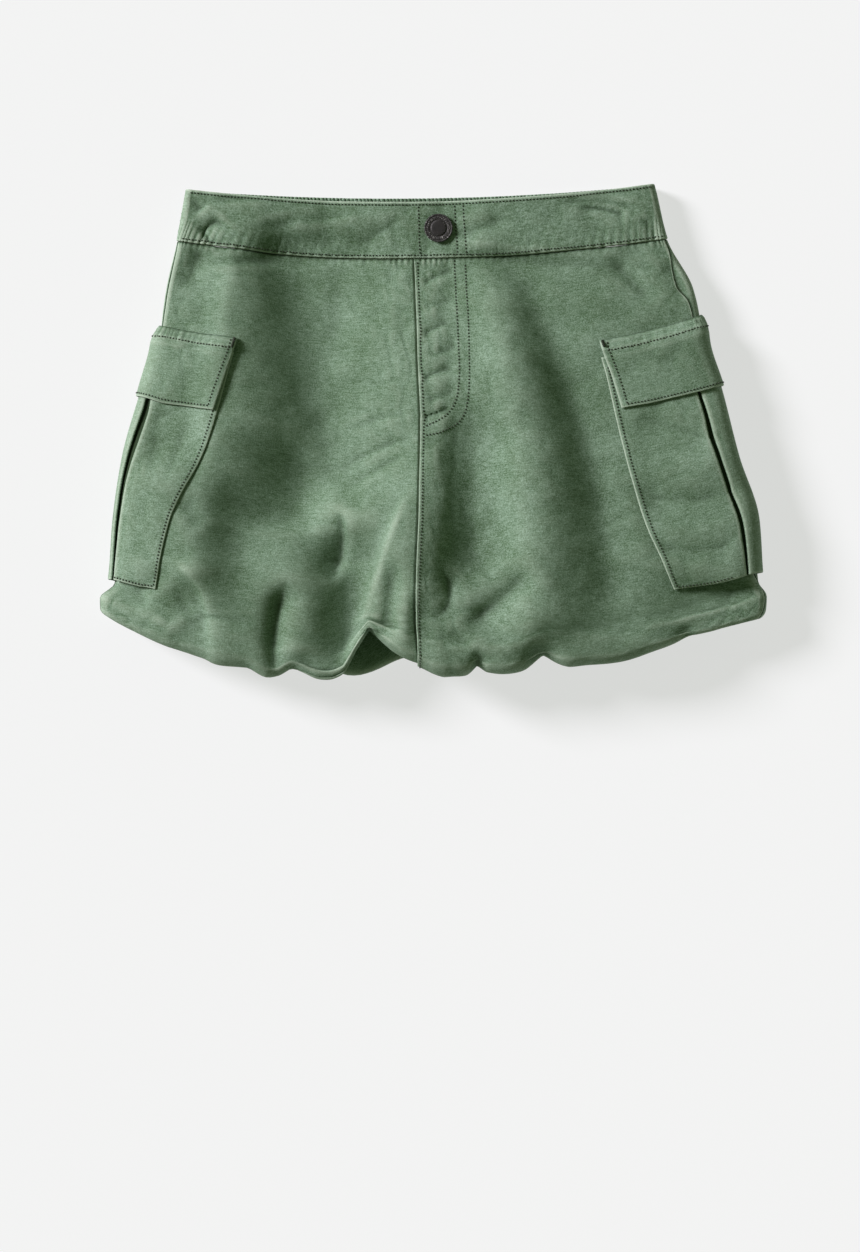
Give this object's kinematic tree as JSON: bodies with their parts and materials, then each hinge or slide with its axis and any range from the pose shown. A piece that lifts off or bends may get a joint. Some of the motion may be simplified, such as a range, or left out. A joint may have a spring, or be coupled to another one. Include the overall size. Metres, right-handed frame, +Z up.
{
  "type": "balloon skirt",
  "caption": "Short cargo balloon skirt in washed green twill, lying flat: hollow body, open waist, turned and drawn-in hem, flapped box-pleat pockets at the sides.",
  "frame": {"origin": "on the surface that the skirt lies on, at the centre of its outline", "axes": "+Z up from the surface, +Y towards the waist, +X to the right as it lies, which is the wearer's left"},
  "size_m": [0.3975, 0.2965, 0.0461],
  "materials": {
    "twill": "washed cotton twill, matt",
    "elasticated_twill": "washed cotton twill, gathered on elastic",
    "button_metal": "dark metal, worn bright at the rim"
  },
  "bodies": {
    "root": {"front_left": "twill", "front_right": "twill", "back": "twill", "waistband_front": "twill", "waistband_back": "elasticated_twill", "pocket_left": "twill", "pocket_right": "twill", "flap_left": "twill", "flap_right": "twill", "hem_band_front": "twill", "hem_band_back": "twill", "button": "button_metal"}
  },
  "joints": []
}
